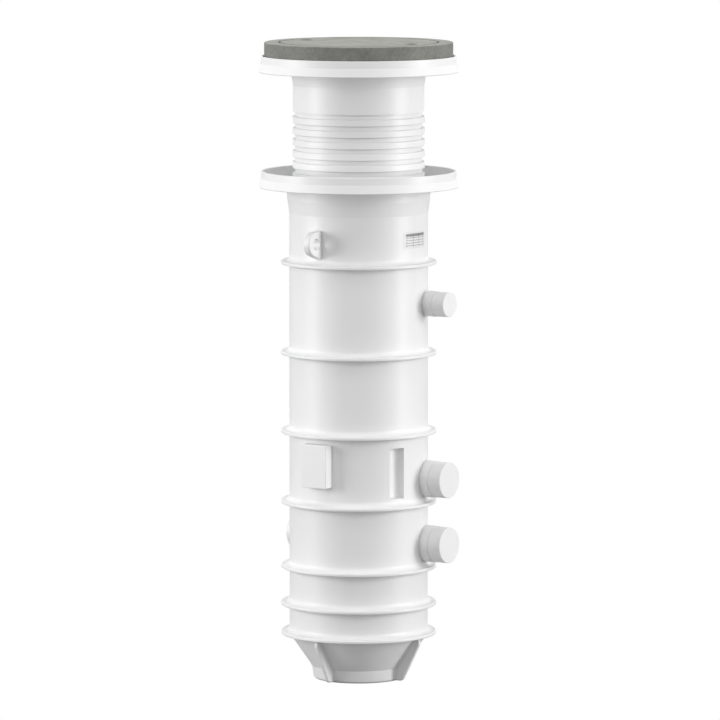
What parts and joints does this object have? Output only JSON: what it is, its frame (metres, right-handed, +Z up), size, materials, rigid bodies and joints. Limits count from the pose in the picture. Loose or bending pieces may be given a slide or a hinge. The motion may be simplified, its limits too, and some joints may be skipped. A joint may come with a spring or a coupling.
{
  "type": "pump chamber",
  "caption": "Tall moulded pump chamber with ribbed barrel, finned base, dish flanges, telescopic riser, round cover, blind pipe stubs and a liftable sewage pump inside.",
  "frame": {"origin": "centre of the flat base, on the ground", "axes": "+Z up along the chamber's axis; +X along the inlet stubs; -Y towards the side with the raised pad"},
  "size_m": [0.894, 0.894, 2.856],
  "materials": {
    "white_plastic": "satin moulded polyethylene",
    "pipe_plastic": "smooth grey pipe",
    "grip_plastic": "dipped vinyl",
    "concrete": "fine cast concrete",
    "cast_iron": "coated casting",
    "pump_iron": "painted casting",
    "stainless": "brushed stainless steel",
    "brass": "plain brass",
    "rubber": "black seal rubber",
    "plate": "satin plate with ruled empty fields"
  },
  "bodies": {
    "chamber": {"chamber_body": "white_plastic", "lip_seal": "rubber", "data_plate": "plate", "traverse": "stainless", "coupling_seat": "cast_iron", "seat_seal": "rubber", "seat_bolts": "stainless", "valve_body": "brass", "valve_end": "brass", "pressure_socket": "pipe_plastic", "level_tube": "pipe_plastic", "level_bell": "pipe_plastic", "tube_clips": "pipe_plastic"},
    "riser": {"riser": "white_plastic", "frame_ring": "concrete", "seat_ring": "cast_iron", "damping_ring": "rubber"},
    "cover": {"cover_plate": "concrete", "lifting_cups": "cast_iron"},
    "pump": {"suction_plate": "pump_iron", "volute_casing": "pump_iron", "bearing_housing": "pump_iron", "shaft_bearing": "stainless", "motor_housing": "stainless", "motor_cap": "pump_iron", "cap_screws": "stainless", "pump_handle": "stainless", "cable_gland": "brass", "pressure_pipe": "stainless", "check_valve": "cast_iron", "check_ball": "rubber", "coupling_claw": "cast_iron"},
    "rotor": {"impeller": "cast_iron", "pump_shaft": "stainless"},
    "valve": {"valve_ball": "stainless", "valve_stem": "stainless", "valve_lever": "stainless", "lever_grip": "grip_plastic"}
  },
  "joints": [
    {"name": "riser_slide", "type": "slide", "parent": "chamber", "child": "riser", "axis": [0, 0, 1], "range_m": [-0.43, 0.08]},
    {"name": "cover_lift", "type": "slide", "parent": "riser", "child": "cover", "axis": [0, 0, 1], "range_m": [0, 0.3]},
    {"name": "pump_lift", "type": "slide", "parent": "chamber", "child": "pump", "axis": [0, 0, 1], "range_m": [0, 0.4]},
    {"name": "impeller_spin", "type": "hinge", "parent": "pump", "child": "rotor", "pos_m": [0, 0.095, 0.13], "axis": [0, 0, 1], "continuous": true},
    {"name": "valve_turn", "type": "hinge", "parent": "chamber", "child": "valve", "pos_m": [0, -0.2063, 0.988], "axis": [0, 0, -1], "range_deg": [0, 90]}
  ]
}
